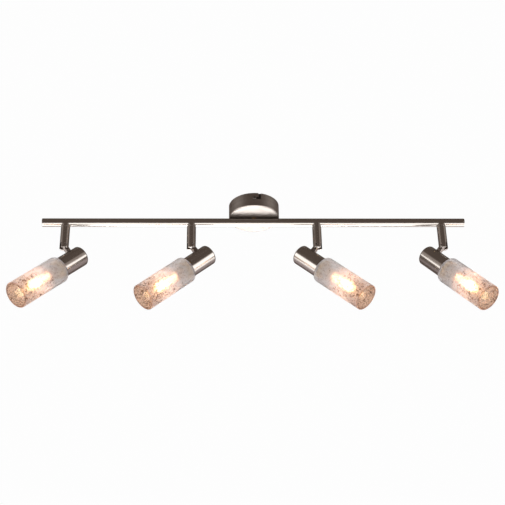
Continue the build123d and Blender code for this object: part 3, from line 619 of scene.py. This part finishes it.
for head in heads:
    number = head.number
    low, high = head.reach(head.axis, f"glass_shade_{number}")
    back, mouth, outer = low.x, high.x, high.z
    hole, _ = head.radii(f"glass_shade_{number}", back - MM, back + 0.1 * MM)
    bore, _ = head.radii(f"glass_shade_{number}", mouth - 30 * MM, mouth - 0.1 * MM)
    wall = outer - bore
    ring_out = head.radii(f"shade_ring_{number}", back, mouth)[1]
    inner_round = min(3 * MM, bore - ring_out - 0.1 * MM)
    lamp_tip = head.reach(head.axis, f"lamp_{number}")[1].x
    holder_face = head.reach(head.axis, f"lampholder_{number}")[1].x
    painted_glow_middle = (holder_face + lamp_tip) / 2 + PAINTED_GLOW_AHEAD
    shape = spun(
        [(back, hole), (back, outer), (mouth, outer),
         (mouth, bore), (back + wall, bore), (back + wall, hole)],
        [(1, SHOULDER, 9), (2, LIP_ROUND, 4), (3, LIP_ROUND, 4), (4, inner_round, 4)],
        SHADE_STEPS, cuts=[(outer, WALL_CUTS), (bore, LINING_CUTS)],
    )
    etch_layer = shape.verts.layers.float.new("etch")
    curl_layer = shape.verts.layers.float.new("curl")
    skin_layer = shape.verts.layers.float.new("skin")
    seed = Vector((37.1 * number, -11.3 * number, 5.7 * number))
    for vertex in shape.verts:
        along, out = vertex.co.x, math.hypot(vertex.co.y, vertex.co.z)
        share = min(1, max(0, (along - back) / (mouth - back)))
        at = vertex.co * 1000 + seed
        swirl = at * 0.16 + 0.9 * noise.noise_vector(at * 0.12)
        cells = noise.voronoi(swirl)[0]
        crackle = cells[1] - cells[0]
        cloud = noise.fractal(at * 0.11, 1.0, 2.0, 3)
        frosted = 1.15 - 1.25 * share + 0.55 * cloud
        etch = min(1, max(0.08, frosted + (0.45 if crackle < 0.16 else -0.25)))
        curls = noise.noise(at * 0.23 + 1.3 * noise.noise_vector(at * 0.15))
        ridge = max(0, 1 - abs(curls - 0.20) / 0.14)
        density = min(1, max(0, (share - 0.37) * 2.2 + 1.2 * noise.noise(at * 0.085)))
        curl = min(1, 1.8 * ridge * density)
        on_wall = out > outer - 0.3 * MM and back + RELIEF_START < along < mouth - RELIEF_END
        if on_wall:
            sink = RELIEF * (0.55 * min(1, max(0, 0.5 + cloud)) + 0.45 * curl)
            fade = min(1, (along - back - RELIEF_START) / (3 * MM), (mouth - RELIEF_END - along) / (1.5 * MM))
            vertex.co.y *= (out - sink * fade) / out
            vertex.co.z *= (out - sink * fade) / out
        vertex[etch_layer] = etch
        vertex[curl_layer] = curl
        vertex[skin_layer] = 1.0 if out > outer - 0.5 * wall else 0.0
    finish_piece(f"ice_shade_{number}", shape, head, ice_glass(head, painted_glow_middle, mouth), "ice_glass",
                 f"glass_shade_{number}")

# ---------------------------------------------------------------- ring nuts
# Turned brass rings, notched for a wrench, screwed on the sleeve to clamp the glass against the cup.
for head in heads:
    dress(metal(f"brass_ring_{head.number}", BRASS, BRASS_DEEP, 0.26, 0.06, (30, 2400), turned=True,
                origin=head.centre, turn=head.euler, bright=BRASS_BRIGHT), f"shade_ring_{head.number}")

# ---------------------------------------------------------------- lampholders
# Fired steatite, cream white and slightly rough, with a rear collar and two pin holes.
for head in heads:
    dress(moulded(f"steatite_{head.number}", (0.86, 0.83, 0.76), (0.72, 0.67, 0.58), 0.5, 700.0, 0.00006),
          f"lampholder_{head.number}")
    dress(silicone, f"head_lead_{head.number}")


# ---------------------------------------------------------------- lamps
# Capsule lamps: a frosted quartz envelope, drawn to a point in front and pinched flat behind over two
# pins, glowing warm white, brightest round its middle.
def lit_envelope(head, start, end):
    material = bpy.data.materials.new(f"lamp_glow_{head.number}")
    material.use_nodes = True
    tree = material.node_tree
    shader = tree.nodes["Principled BSDF"]
    here = place(tree, "ShaderNodeTexCoord").outputs["Object"]
    here = place(tree, "ShaderNodeMapping", {"Vector": here, "Location": head.centre, "Rotation": head.euler},
                 vector_type="TEXTURE").outputs[0]
    along = place(tree, "ShaderNodeSeparateXYZ", {"Vector": here}).outputs["X"]
    away = sum_of(tree, "ABSOLUTE", sum_of(tree, "SUBTRACT", along, 0.22 * start + 0.78 * end), 0.0)
    hot = ramp(tree, away, 0.50 * (end - start), 0.1 * (end - start))
    frost = place(tree, "ShaderNodeTexNoise", {"Vector": here, "Scale": 900.0, "Detail": 3.0}).outputs[0]
    colour = mix(tree, hot, (0.30, 0.12, 0.05, 1), (1.0, 0.74, 0.35, 1))
    colour = mix(tree, sum_of(tree, "MULTIPLY", frost, 0.12), colour, (1, 0.95, 0.85, 1))
    tree.links.new(colour, shader.inputs["Emission Color"])
    shader.inputs["Emission Strength"].default_value = 11.0
    tree.links.new(mix(tree, frost, (0.95, 0.92, 0.86, 1), (0.85, 0.81, 0.74, 1)), shader.inputs["Base Color"])
    tree.links.new(ramp(tree, frost, 0.3, 0.7, 0.35, 0.5, "LINEAR"), shader.inputs["Roughness"])
    return material


for head in heads:
    holder_face = head.reach(head.axis, f"lampholder_{head.number}")[1].x
    tip = head.reach(head.axis, f"lamp_{head.number}")[1].x
    dress(lit_envelope(head, holder_face + 8 * MM, tip), f"lamp_{head.number}")
